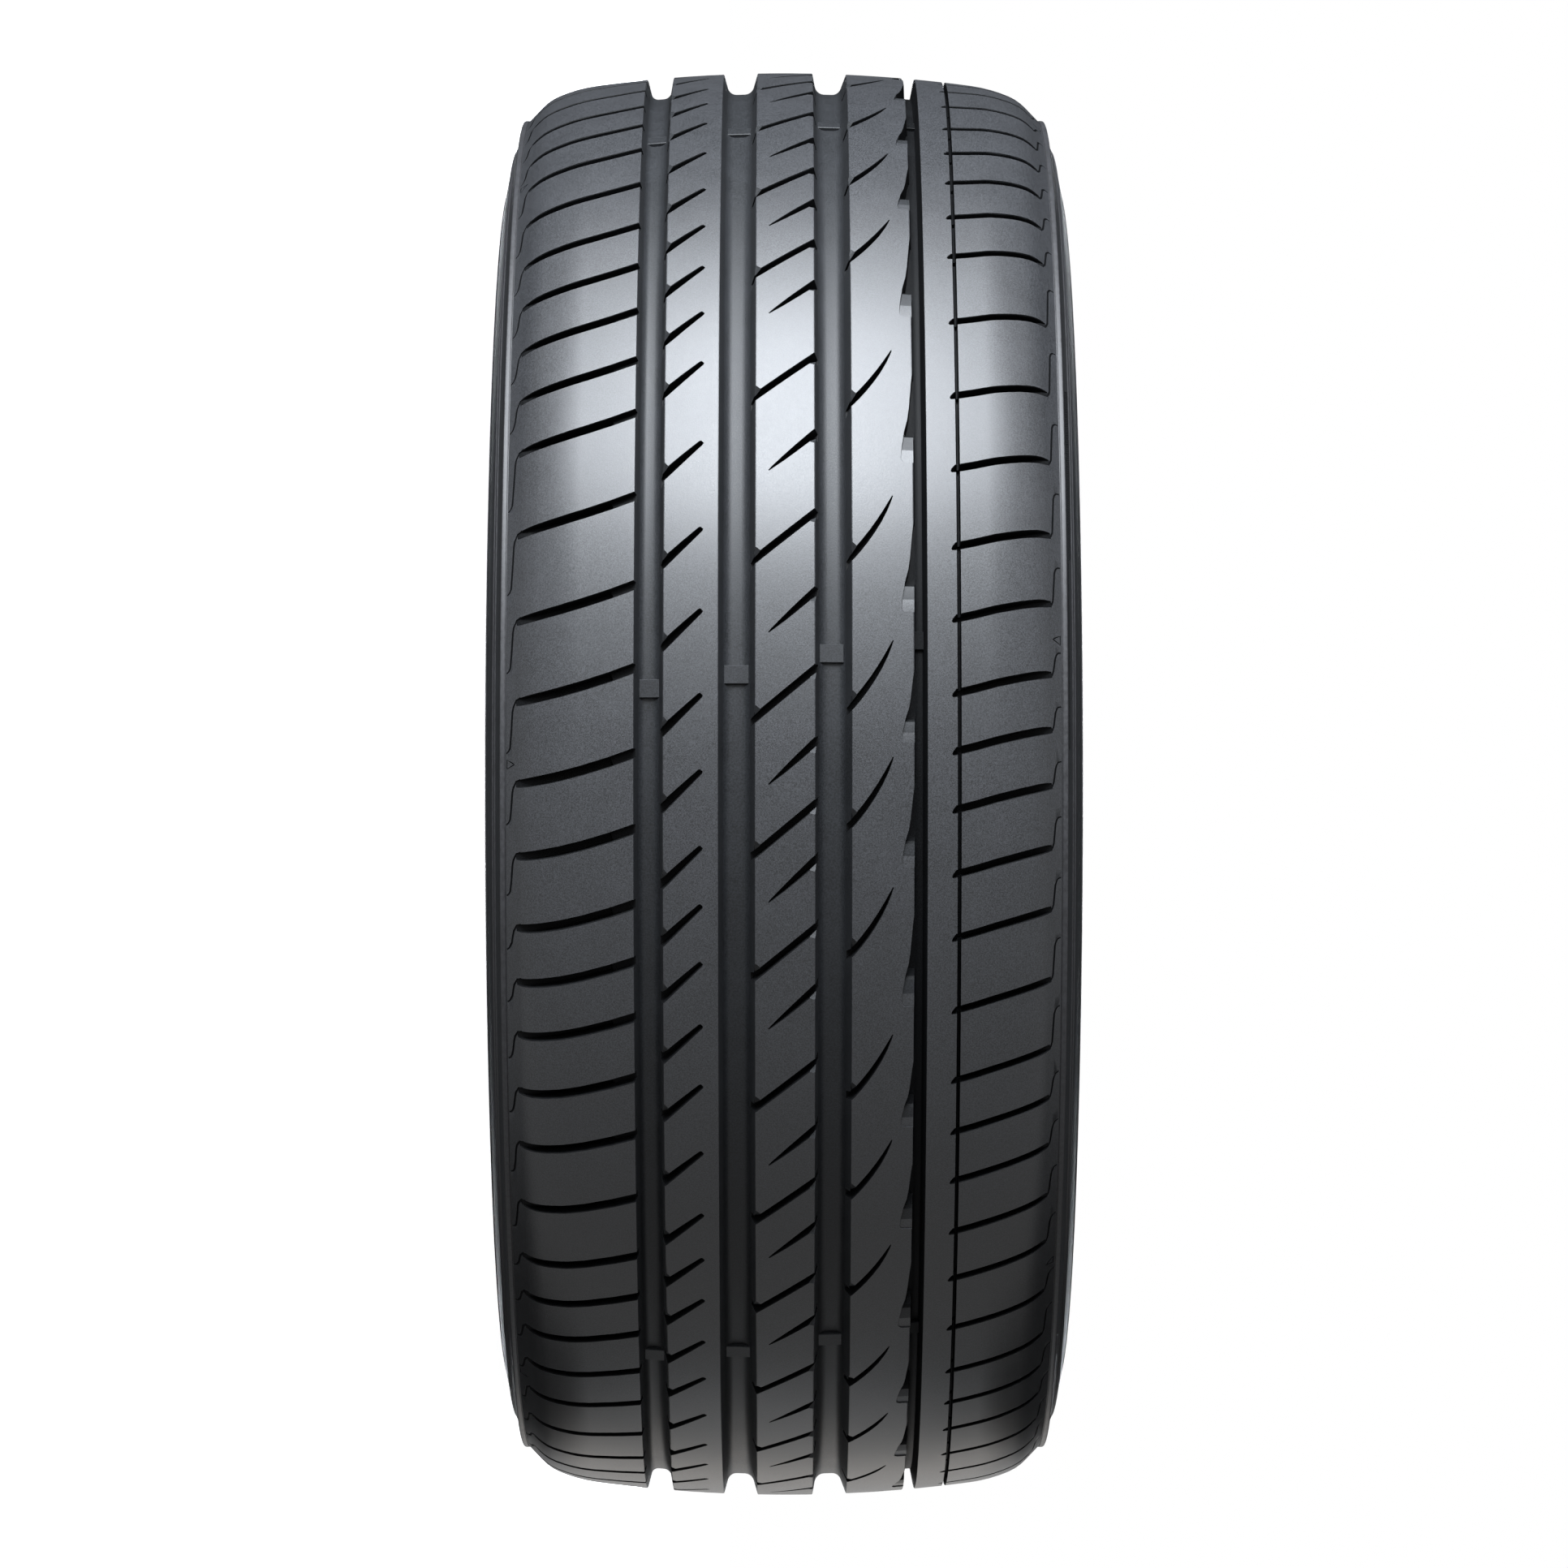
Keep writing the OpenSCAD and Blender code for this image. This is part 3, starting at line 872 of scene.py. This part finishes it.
@dataclass
class Tyre:
    """The whole tyre: the plain block is cut and filled flat, then wrapped into a ring."""

    section: Section = field(default_factory=Section)
    pattern: TreadPattern = field(default_factory=TreadPattern)
    finishes_and_shades: dict[FinishOrShade, Rubber] = field(default_factory=lambda: dict(FINISHES_AND_SHADES))
    steps: int = 216
    liner_out: float = 309.5
    cavity_r: float = 270.0
    # Depth below the crown from which tread faces take the painted groove shade.
    groove_from: float = 0.6
    ledge_width: float = 2.6
    # Depths in the scoops below which the painted shade turns near-black, and above which faces keep
    # the rib's colour.
    scoop_slot_shade_from: float = 1.4
    scoop_rib_colour_to: float = 0.8
    scoop_reach: float = 6.0
    # Margin beside the narrow grooves that also takes the near-black painted slot shade.
    beside_narrow: float = 2.0

    def build(self) -> bpy.types.Object:
        """Builds the tyre.

        Returns:
            The finished object, at the origin.
        """
        finishes_and_shades = {finish: rubber.build() for finish, rubber in self.finishes_and_shades.items()}
        body = self._block(finishes_and_shades)
        LOG.info("block: %d faces", len(body.data.polygons))
        # The wear bars take the painted groove shade of the floors they stand on.
        self._carve(body, self.pattern.bars().to_object(finishes_and_shades[FinishOrShade.GROOVE_PAINTED_SHADE]), "UNION")
        for tools, inside in self.pattern.tools():
            self._carve(body, tools.to_object(finishes_and_shades[inside]), "DIFFERENCE")
            LOG.info("after %s: %d faces", tools.name, len(body.data.polygons))
        self._paint_scoop_shade(body.data)
        self._wrap(body.data)
        self._smooth(body.data)
        return body

    def _block(self, finishes_and_shades: dict[FinishOrShade, bpy.types.Material]) -> bpy.types.Object:
        """Draws the cut through the tyre out along the flat tread.

        Args:
            finishes_and_shades: The material of each finish and painted shade.

        Returns:
            The plain block, with a material for each finish.
        """
        bm = bmesh.new()
        points = self.section.outline()
        verts = [bm.verts.new(Vector((0.0, across, up)) * MM) for across, up in points]
        edges = [bm.edges.new((verts[k - 1], verts[k])) for k in range(len(verts))]
        stride = self.pattern.length() * MM / self.steps
        drawn = bmesh.ops.spin(
            bm, geom=verts + edges, cent=(0, 0, 0), axis=(1, 0, 0), dvec=(stride, 0, 0),
            angle=0.0, steps=self.steps, use_merge=False, use_duplicate=False,
        )
        last = [item for item in drawn["geom_last"] if isinstance(item, bmesh.types.BMEdge)]
        for item in drawn["geom_last"]:
            if isinstance(item, bmesh.types.BMVert):
                item.co.x = self.pattern.length() * MM
        bmesh.ops.contextual_create(bm, geom=edges)
        bmesh.ops.contextual_create(bm, geom=last)
        bmesh.ops.recalc_face_normals(bm, faces=bm.faces[:])
        for face in bm.faces:
            face.material_index = self._finish_or_painted_shade(face).value
        mesh = bpy.data.meshes.new("tyre_rubber")
        bm.to_mesh(mesh)
        bm.free()
        for finish in FinishOrShade:
            mesh.materials.append(finishes_and_shades[finish])
        body = bpy.data.objects.new("tyre_rubber", mesh)
        bpy.context.scene.collection.objects.link(body)
        return body

    def _finish_or_painted_shade(self, face: bmesh.types.BMFace) -> FinishOrShade:
        """Tells which finish or painted shade a face of the plain block takes: tread faces deeper than
        the top 0.6 mm take the painted groove shade, or the near-black painted slot shade in and
        beside the narrow grooves.
        """
        middle = face.calc_center_median() / MM
        radius = middle.z + self.section.crown.radius(middle.y)
        outwards = face.normal.y * middle.y + face.normal.z * (radius - self.cavity_r)
        if radius < self.liner_out and outwards < 0:
            return FinishOrShade.LINER
        if abs(middle.y) > self.section.wall.tread_end + self.ledge_width or radius < 300:
            return FinishOrShade.SIDEWALL
        if middle.z > -self.groove_from:
            return FinishOrShade.TREAD
        narrow = (self.section.outer_right, self.section.hairline)
        beside = self.beside_narrow
        if any(groove.left - beside < middle.y < groove.right + beside for groove in narrow):
            return FinishOrShade.SLOT_PAINTED_SHADE
        return FinishOrShade.GROOVE_PAINTED_SHADE

    def _paint_scoop_shade(self, mesh: bpy.types.Mesh) -> None:
        """Paints shade into each scoop by its depth: faces near the top keep the rib's colour, the
        middle keeps the painted groove shade, and the deep part takes the near-black painted slot
        shade.

        Args:
            mesh: The flat tread, after its cuts.
        """
        narrow = self.section.outer_right
        for face in mesh.polygons:
            middle = face.center / MM
            if face.material_index != FinishOrShade.GROOVE_PAINTED_SHADE.value:
                continue
            if narrow.left - self.scoop_reach < middle.y < narrow.right:
                if middle.z < -self.scoop_slot_shade_from:
                    face.material_index = FinishOrShade.SLOT_PAINTED_SHADE.value
                elif middle.z > -self.scoop_rib_colour_to:
                    face.material_index = FinishOrShade.TREAD.value

    def _carve(self, body: bpy.types.Object, tool: bpy.types.Object, how: str) -> None:
        """Cuts a set of blades from the block, or adds bars to it.

        Args:
            body: The block.
            tool: Closed pieces, which are used up.
            how: Name of the Boolean operation.
        """
        modifier = body.modifiers.new("carve", "BOOLEAN")
        modifier.operation = how
        modifier.solver = "MANIFOLD"
        modifier.object = tool
        graph = bpy.context.evaluated_depsgraph_get()
        mesh = bpy.data.meshes.new_from_object(body.evaluated_get(graph))
        body.modifiers.clear()
        old, body.data = body.data, mesh
        old_name = old.name
        bpy.data.meshes.remove(old)
        mesh.name = old_name
        tool_mesh = tool.data
        bpy.data.objects.remove(tool)
        bpy.data.meshes.remove(tool_mesh)

    def _wrap(self, mesh: bpy.types.Mesh) -> None:
        """Wraps the flat tread round the wheel axis and joins its ends."""
        bm = bmesh.new()
        bm.from_mesh(mesh)
        length = self.pattern.length() * MM
        ends = [
            face for face in bm.faces
            if all(abs(v.co.x) < END_GAP for v in face.verts)
            or all(abs(v.co.x - length) < END_GAP for v in face.verts)
        ]
        bmesh.ops.delete(bm, geom=ends, context="FACES_ONLY")
        crown = self.section.crown
        for vert in bm.verts:
            turn = math.radians(self.pattern.start) + 2 * math.pi * vert.co.x / length
            across = vert.co.y
            radius = vert.co.z + crown.radius(across / MM) * MM
            vert.co = Vector((radius * math.cos(turn), radius * math.sin(turn), across))
        bmesh.ops.remove_doubles(bm, verts=bm.verts[:], dist=JOIN_GAP)
        loose = [vert for vert in bm.verts if not vert.link_faces]
        bmesh.ops.delete(bm, geom=loose, context="VERTS")
        bmesh.ops.recalc_face_normals(bm, faces=bm.faces[:])
        open_edges = sum(1 for edge in bm.edges if len(edge.link_faces) != 2)
        LOG.info("wrapped: %d faces, %d open edges", len(bm.faces), open_edges)
        bm.to_mesh(mesh)
        bm.free()

    def _smooth(self, mesh: bpy.types.Mesh) -> None:
        """Shades the ribs as one smooth crown, and keeps the moulded edges crisp."""
        mesh.shade_smooth()
        mesh.set_sharp_from_angle(angle=SHARP_ANGLE)
        crown, end = self.section.crown, self.section.wall.tread_end * MM
        spots = [vert.co for vert in mesh.vertices]
        on_crown = [
            abs(spot.z) < end
            and abs(math.hypot(spot.x, spot.y) - crown.radius(spot.z / MM) * MM) < ON_CROWN_GAP
            for spot in spots
        ]
        normals = [Vector((0.0, 0.0, 0.0))] * len(mesh.loops)
        for polygon in mesh.polygons:
            if all(on_crown[vert] for vert in polygon.vertices):
                for loop in polygon.loop_indices:
                    spot = spots[mesh.loops[loop].vertex_index]
                    tilt = crown.tilt(spot.z / MM)
                    out = Vector((spot.x, spot.y, 0.0)).normalized() * math.cos(tilt)
                    normals[loop] = out + Vector((0.0, 0.0, math.sin(tilt)))
        mesh.normals_split_custom_set(normals)


class GrainGroup:
    """The grain that a mould leaves in black rubber: fine speckle and soft, larger clouds."""

    NAME = "rubber_grain"

    @classmethod
    def tree(cls) -> bpy.types.NodeTree:
        """Gets the shared node group, and makes it the first time.

        Returns:
            The group, with a mask, a colour and a height.
        """
        found = bpy.data.node_groups.get(cls.NAME)
        if found:
            return found
        tree = bpy.data.node_groups.new(cls.NAME, "ShaderNodeTree")
        sockets = [
            ("Dark", "INPUT", "NodeSocketColor"), ("Light", "INPUT", "NodeSocketColor"),
            ("Speckle Scale", "INPUT", "NodeSocketFloat"), ("Cloud Scale", "INPUT", "NodeSocketFloat"),
            ("Cloud Share", "INPUT", "NodeSocketFloat"),
            ("Smoothest", "INPUT", "NodeSocketFloat"), ("Roughest", "INPUT", "NodeSocketFloat"),
            ("Color", "OUTPUT", "NodeSocketColor"), ("Roughness", "OUTPUT", "NodeSocketFloat"),
            ("Height", "OUTPUT", "NodeSocketFloat"),
        ]
        for name, way, kind in sockets:
            tree.interface.new_socket(name, in_out=way, socket_type=kind)
        nodes, links = tree.nodes, tree.links
        given = nodes.new("NodeGroupInput")
        result = nodes.new("NodeGroupOutput")
        where = nodes.new("ShaderNodeTexCoord")
        speckle = nodes.new("ShaderNodeTexNoise")
        speckle.inputs["Detail"].default_value = 2.0
        speckle.inputs["Roughness"].default_value = 0.65
        cloud = nodes.new("ShaderNodeTexNoise")
        cloud.inputs["Detail"].default_value = 3.0
        for noise, scale in ((speckle, "Speckle Scale"), (cloud, "Cloud Scale")):
            links.new(where.outputs["Object"], noise.inputs["Vector"])
            links.new(given.outputs[scale], noise.inputs["Scale"])
        blend = nodes.new("ShaderNodeMix")
        links.new(given.outputs["Cloud Share"], blend.inputs[0])
        links.new(speckle.outputs["Fac"], blend.inputs[2])
        links.new(cloud.outputs["Fac"], blend.inputs[3])
        contrast = nodes.new("ShaderNodeMapRange")
        contrast.inputs["From Min"].default_value = 0.36
        contrast.inputs["From Max"].default_value = 0.64
        links.new(blend.outputs[0], contrast.inputs["Value"])
        colour = nodes.new("ShaderNodeMix")
        colour.data_type = "RGBA"
        links.new(contrast.outputs["Result"], colour.inputs[0])
        links.new(given.outputs["Dark"], colour.inputs[6])
        links.new(given.outputs["Light"], colour.inputs[7])
        rough = nodes.new("ShaderNodeMapRange")
        links.new(given.outputs["Smoothest"], rough.inputs["To Min"])
        links.new(given.outputs["Roughest"], rough.inputs["To Max"])
        links.new(contrast.outputs["Result"], rough.inputs["Value"])
        links.new(colour.outputs[2], result.inputs["Color"])
        links.new(rough.outputs["Result"], result.inputs["Roughness"])
        links.new(speckle.outputs["Fac"], result.inputs["Height"])
        return tree


@dataclass(frozen=True)
class Rubber:
    """Black rubber compound with moulded grain."""

    name: str
    dark: tuple[float, float, float, float]
    light: tuple[float, float, float, float]
    speckle_scale: float = 1500.0
    cloud_scale: float = 60.0
    cloud_share: float = 0.2
    grain_height: float = 0.00006
    specular: float = 0.25
    rough: tuple[float, float] = (0.41, 0.49)

    def build(self) -> bpy.types.Material:
        """Makes the material.

        Returns:
            The material, with its grain on Object coordinates.
        """
        material = bpy.data.materials.new(self.name)
        material.use_nodes = True
        nodes, links = material.node_tree.nodes, material.node_tree.links
        shader = nodes["Principled BSDF"]
        shader.inputs["Specular IOR Level"].default_value = self.specular
        grain = nodes.new("ShaderNodeGroup")
        grain.node_tree = GrainGroup.tree()
        smoothest, roughest = self.rough
        for socket, value in (
            ("Dark", self.dark), ("Light", self.light), ("Speckle Scale", self.speckle_scale),
            ("Cloud Scale", self.cloud_scale), ("Cloud Share", self.cloud_share),
            ("Smoothest", smoothest), ("Roughest", roughest),
        ):
            grain.inputs[socket].default_value = value
        links.new(grain.outputs["Color"], shader.inputs["Base Color"])
        links.new(grain.outputs["Roughness"], shader.inputs["Roughness"])
        bump = nodes.new("ShaderNodeBump")
        bump.inputs["Strength"].default_value = 0.6
        bump.inputs["Distance"].default_value = self.grain_height
        links.new(grain.outputs["Height"], bump.inputs["Height"])
        links.new(bump.outputs["Normal"], shader.inputs["Normal"])
        return material


@dataclass(frozen=True)
class Lamp:
    """A soft rectangular lamp that faces the tyre, level with its middle.

    Args:
        name: Its name.
        turn: Where it hangs, in degrees round the tyre from the camera's side.
        away: Distance from the wheel axis.
        size: Width along the turn, and height.
        power: Watts.
        tint: Colour of its light.
    """

    name: str
    turn: float
    away: float
    size: tuple[float, float]
    power: float
    tint: tuple[float, float, float] = (0.89, 0.94, 1.0)

    def hang(self, scene: bpy.types.Scene) -> None:
        """Hangs the lamp in the scene."""
        lamp = bpy.data.lights.new(self.name, "AREA")
        lamp.shape = "RECTANGLE"
        lamp.size, lamp.size_y = self.size
        lamp.energy = self.power
        lamp.color = self.tint
        holder = bpy.data.objects.new(self.name, lamp)
        scene.collection.objects.link(holder)
        turn = math.radians(self.turn)
        back = Vector((math.sin(turn), -math.cos(turn), 0.0))
        side = Vector((math.cos(turn), math.sin(turn), 0.0))
        holder.matrix_world = Matrix.Translation(back * self.away) @ Matrix((
            (side.x, 0, back.x, 0), (side.y, 0, back.y, 0), (0, 1, 0, 0), (0, 0, 0, 1),
        ))


@dataclass
class Studio:
    """Camera, lamps, floor, black board and white backdrop.

    Args:
        distance: Distance from the camera to the wheel axis.
        focal_px: Focal length in pixels of the picture.
        frame_px: Width of the picture in pixels.
        floor_at: Height of the floor, on which the tyre lies.
        floor_reach: Distance from the middle of the floor to its edges.
        floor_glow: Share of the floor's white that needs no lamp.
        board_away: Distance from the wheel axis to the board.
        board_reach: Distance from the middle of the board to its edges.
        window: Limits of the board's window along X and along Z.
        lamps: The lamps.
    """

    distance: float = 3.05371
    focal_px: float = 8140.4
    frame_px: float = 1932.0
    floor_at: float = -0.1265
    floor_reach: float = 12.0
    floor_glow: float = 0.97
    board_away: float = 3.0
    board_reach: float = 14.0
    window: tuple[tuple[float, float], tuple[float, float]] = ((0.5, 9.0), (-0.8, 0.8))
    lamps: tuple[Lamp, ...] = (
        Lamp("key_middle", -57.0, 3.2, (0.9, 3.2), 185.0),
        Lamp("key_low_edge", -46.0, 3.2, (0.7, 1.2), 149.0),
        Lamp("key_high_edge", -68.0, 3.2, (0.7, 1.2), 112.0),
        Lamp("key_top", -82.0, 3.2, (0.9, 1.6), 52.0),
        Lamp("front_fill", -25.0, 3.2, (1.2, 1.6), 23.0),
        Lamp("back_fill", 110.0, 3.0, (0.8, 1.2), 2.4),
        Lamp("warm_back_strip", 140.0, 3.0, (0.6, 1.2), 2.0, WARM),
        Lamp("rear", 180.0, 2.85, (1.2, 1.6), 150.0),
    )

    def build(self) -> None:
        """Sets the whole studio up."""
        scene = bpy.context.scene
        scene.view_settings.view_transform = "Standard"
        self._camera(scene)
        self._world(scene)
        self._floor(scene)
        self._black_board(scene)
        for lamp in self.lamps:
            lamp.hang(scene)
        LOG.info("studio: camera, floor and lamps")

    def _camera(self, scene: bpy.types.Scene) -> None:
        """Places the camera square on to the tread, with the wheel axis level in the picture."""
        lens = bpy.data.cameras.new("camera")
        lens.lens = self.focal_px * lens.sensor_width / self.frame_px
        lens.clip_end = 50.0
        camera = bpy.data.objects.new("camera", lens)
        scene.collection.objects.link(camera)
        camera.matrix_world = Matrix((
            (0, -1, 0, 0), (0, 0, -1, -self.distance), (1, 0, 0, 0), (0, 0, 0, 1)
        ))
        scene.camera = camera

    def _world(self, scene: bpy.types.Scene) -> None:
        """Makes the backdrop white where it is seen, mirrored or seen through."""
        world = bpy.data.worlds.new("studio")
        scene.world = world
        world.use_nodes = True
        nodes, links = world.node_tree.nodes, world.node_tree.links
        path = nodes.new("ShaderNodeLightPath")
        seen = path.outputs["Is Camera Ray"]
        for ray in ("Is Glossy Ray", "Is Transmission Ray"):
            either = nodes.new("ShaderNodeMath")
            either.operation = "MAXIMUM"
            links.new(seen, either.inputs[0])
            links.new(path.outputs[ray], either.inputs[1])
            seen = either.outputs["Value"]
        links.new(seen, nodes["Background"].inputs["Strength"])
        nodes["Background"].inputs["Color"].default_value = (1.0, 1.0, 1.0, 1.0)

    def _floor(self, scene: bpy.types.Scene) -> None:
        """Lays a plain pale floor that keeps the tyre's shadow and lets the lamps' light through."""
        bm = bmesh.new()
        bmesh.ops.create_grid(bm, x_segments=1, y_segments=1, size=self.floor_reach)
        bmesh.ops.translate(bm, verts=bm.verts[:], vec=(0.0, 0.0, self.floor_at))
        material = bpy.data.materials.new("pale_floor")
        material.use_nodes = True
        shader = material.node_tree.nodes["Principled BSDF"]
        shader.inputs["Base Color"].default_value = (0.9, 0.9, 0.9, 1.0)
        shader.inputs["Roughness"].default_value = 0.9
        shader.inputs["Emission Color"].default_value = (1.0, 1.0, 1.0, 1.0)
        shader.inputs["Emission Strength"].default_value = self.floor_glow
        self._clear_unless(material, camera=True)
        self._stand(scene, "floor", bm, material)

    def _black_board(self, scene: bpy.types.Scene) -> None:
        """Stands a black board with a window behind the tyre, which gives the rubber dark edges.

        The white backdrop shows through the window. The camera doesn't see the board itself.
        """
        bm = bmesh.new()
        bmesh.ops.create_grid(bm, x_segments=3, y_segments=3, size=self.board_reach)
        middle = min(bm.faces, key=lambda face: face.calc_center_median().length)
        for vert in middle.verts:
            for axis, (low, high) in enumerate(self.window):
                vert.co[axis] = low if vert.co[axis] < 0 else high
        bmesh.ops.delete(bm, geom=[middle], context="FACES_ONLY")
        bmesh.ops.transform(bm, matrix=Matrix.Rotation(math.pi / 2, 4, "X"), verts=bm.verts[:])
        bmesh.ops.translate(bm, verts=bm.verts[:], vec=(0.0, self.board_away, 0.0))
        material = bpy.data.materials.new("black_board")
        material.use_nodes = True
        shader = material.node_tree.nodes["Principled BSDF"]
        shader.inputs["Base Color"].default_value = (0.01, 0.01, 0.01, 1.0)
        shader.inputs["Roughness"].default_value = 1.0
        shader.inputs["Specular IOR Level"].default_value = 0.0
        self._clear_unless(material, camera=False)
        self._stand(scene, "black_board", bm, material)

    def _clear_unless(self, material: bpy.types.Material, camera: bool) -> None:
        """Makes a material of the studio clear, apart from some rays.

        Args:
            material: Material with a Principled shader.
            camera: Whether it is the camera's rays, and no others, that meet the material.
        """
        nodes, links = material.node_tree.nodes, material.node_tree.links
        path = nodes.new("ShaderNodeLightPath")
        clear = nodes.new("ShaderNodeBsdfTransparent")
        mix = nodes.new("ShaderNodeMixShader")
        links.new(path.outputs["Is Camera Ray"], mix.inputs[0])
        links.new(clear.outputs["BSDF"], mix.inputs[1 if camera else 2])
        links.new(nodes["Principled BSDF"].outputs["BSDF"], mix.inputs[2 if camera else 1])
        links.new(mix.outputs["Shader"], nodes["Material Output"].inputs["Surface"])

    def _stand(
        self, scene: bpy.types.Scene, name: str, bm: bmesh.types.BMesh, material: bpy.types.Material
    ) -> None:
        """Puts a piece of the studio in the scene.

        Args:
            scene: The scene.
            name: Name of the piece.
            bm: Its shape, which is used up.
            material: Its material.
        """
        mesh = bpy.data.meshes.new(name)
        bm.to_mesh(mesh)
        bm.free()
        mesh.materials.append(material)
        piece = bpy.data.objects.new(name, mesh)
        scene.collection.objects.link(piece)


FINISHES_AND_SHADES = {
    FinishOrShade.TREAD: Rubber(
        "tread_rubber", (0.0105, 0.0109, 0.0117, 1.0), (0.0337, 0.0348, 0.0379, 1.0),
        speckle_scale=1900.0, cloud_share=0.1, grain_height=0.00005, rough=(0.34, 0.42),
        specular=0.35,
    ),
    # Painted shade: the darker colour stands in for the shade that falls in the grooves. The rougher,
    # duller gloss is their finish.
    FinishOrShade.GROOVE_PAINTED_SHADE: Rubber(
        "groove_rubber_painted_shade", (0.008, 0.0085, 0.009, 1.0), (0.018, 0.019, 0.021, 1.0),
        rough=(0.40, 0.50), specular=0.17,
    ),
    FinishOrShade.SIDEWALL: Rubber(
        "sidewall_rubber", (0.014, 0.0145, 0.0155, 1.0), (0.024, 0.025, 0.027, 1.0),
        speckle_scale=900.0, grain_height=0.00003, specular=0.15, rough=(0.50, 0.60),
    ),
    # Painted shade: the near-black colour and faint gloss stand in for the shade deep in slots, narrow
    # grooves and fine lines.
    FinishOrShade.SLOT_PAINTED_SHADE: Rubber(
        "slot_rubber_painted_shade", (0.0025, 0.0026, 0.0028, 1.0), (0.0055, 0.0058, 0.0063, 1.0),
        rough=(0.45, 0.55), specular=0.045,
    ),
    FinishOrShade.LINER: Rubber(
        "liner_rubber", (0.014, 0.014, 0.015, 1.0), (0.026, 0.026, 0.028, 1.0),
        speckle_scale=500.0, grain_height=0.00008,
    ),
}


def main() -> None:
    """Builds the scene: studio first, then the tyre."""
    logging.basicConfig(level=logging.INFO, stream=sys.stdout, format="%(name)s: %(message)s")
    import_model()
    Studio().build()
    tyre = Tyre().build()
    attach(tyre, "root")
    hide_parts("tyre")
    tyre.data.calc_loop_triangles()
    LOG.info("tyre_rubber: %d triangles", len(tyre.data.loop_triangles))


if __name__ == "__main__":
    main()
